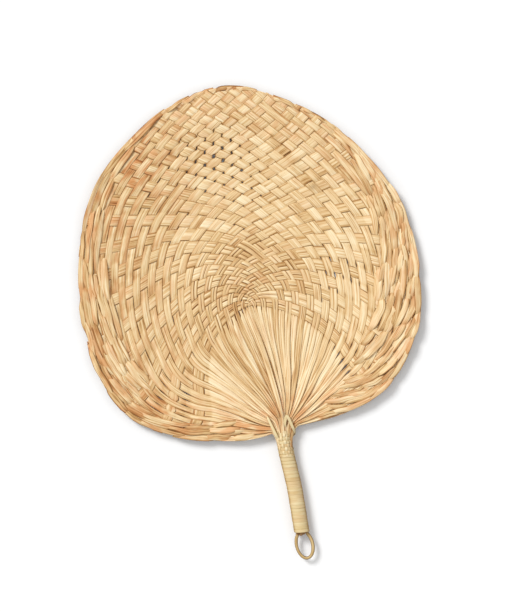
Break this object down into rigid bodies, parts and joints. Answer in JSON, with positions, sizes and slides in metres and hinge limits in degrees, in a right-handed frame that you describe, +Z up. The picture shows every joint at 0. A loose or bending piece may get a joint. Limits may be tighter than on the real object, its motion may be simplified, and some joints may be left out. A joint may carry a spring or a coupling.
{
  "type": "palm leaf hand fan",
  "caption": "Hand fan with a shallow dished blade plaited from dry palm-leaf strips, a cane-wrapped handle and a bound hanging loop, waved by hand to move air.",
  "frame": {"origin": "under the middle of the fan as it lies face up, on the plane it rests on", "axes": "+Y from the handle to the top of the blade, +Z up out of the blade's face, +X to the right"},
  "size_m": [0.2934, 0.4126, 0.0126],
  "materials": {
    "straw_left": "dry palm leaf, satin, fibrous",
    "straw_right": "dry palm leaf, satin, fibrous",
    "core": "dry bundled leaf stalk",
    "wrap": "split cane, satin",
    "tie": "split cane, satin",
    "loop": "cane, satin"
  },
  "bodies": {
    "root": {"left_strip_01": "straw_left", "left_strip_02": "straw_left", "left_strip_03": "straw_left", "left_strip_04": "straw_left", "left_strip_05": "straw_left", "left_strip_06": "straw_left", "left_strip_07": "straw_left", "left_strip_08": "straw_left", "left_strip_09": "straw_left", "left_strip_10": "straw_left", "left_strip_11": "straw_left", "left_strip_12": "straw_left", "left_strip_13": "straw_left", "left_strip_14": "straw_left", "left_strip_15": "straw_left", "left_strip_16": "straw_left", "left_strip_17": "straw_left", "left_strip_18": "straw_left", "left_strip_19": "straw_left", "left_strip_20": "straw_left", "left_strip_21": "straw_left", "left_strip_22": "straw_left", "left_strip_23": "straw_left", "left_strip_24": "straw_left", "left_strip_25": "straw_left", "left_strip_26": "straw_left", "left_strip_27": "straw_left", "left_strip_28": "straw_left", "right_strip_01": "straw_right", "right_strip_02": "straw_right", "right_strip_03": "straw_right", "right_strip_04": "straw_right", "right_strip_05": "straw_right", "right_strip_06": "straw_right", "right_strip_07": "straw_right", "right_strip_08": "straw_right", "right_strip_09": "straw_right", "right_strip_10": "straw_right", "right_strip_11": "straw_right", "right_strip_12": "straw_right", "right_strip_13": "straw_right", "right_strip_14": "straw_right", "right_strip_15": "straw_right", "right_strip_16": "straw_right", "right_strip_17": "straw_right", "right_strip_18": "straw_right", "right_strip_19": "straw_right", "right_strip_20": "straw_right", "right_strip_21": "straw_right", "right_strip_22": "straw_right", "right_strip_23": "straw_right", "right_strip_24": "straw_right", "right_strip_25": "straw_right", "right_strip_26": "straw_right", "handle_core": "core", "handle_wrap": "wrap", "neck_collar": "wrap", "neck_tie_left": "tie", "neck_tie_right": "tie", "hanging_loop": "loop"}
  },
  "joints": []
}
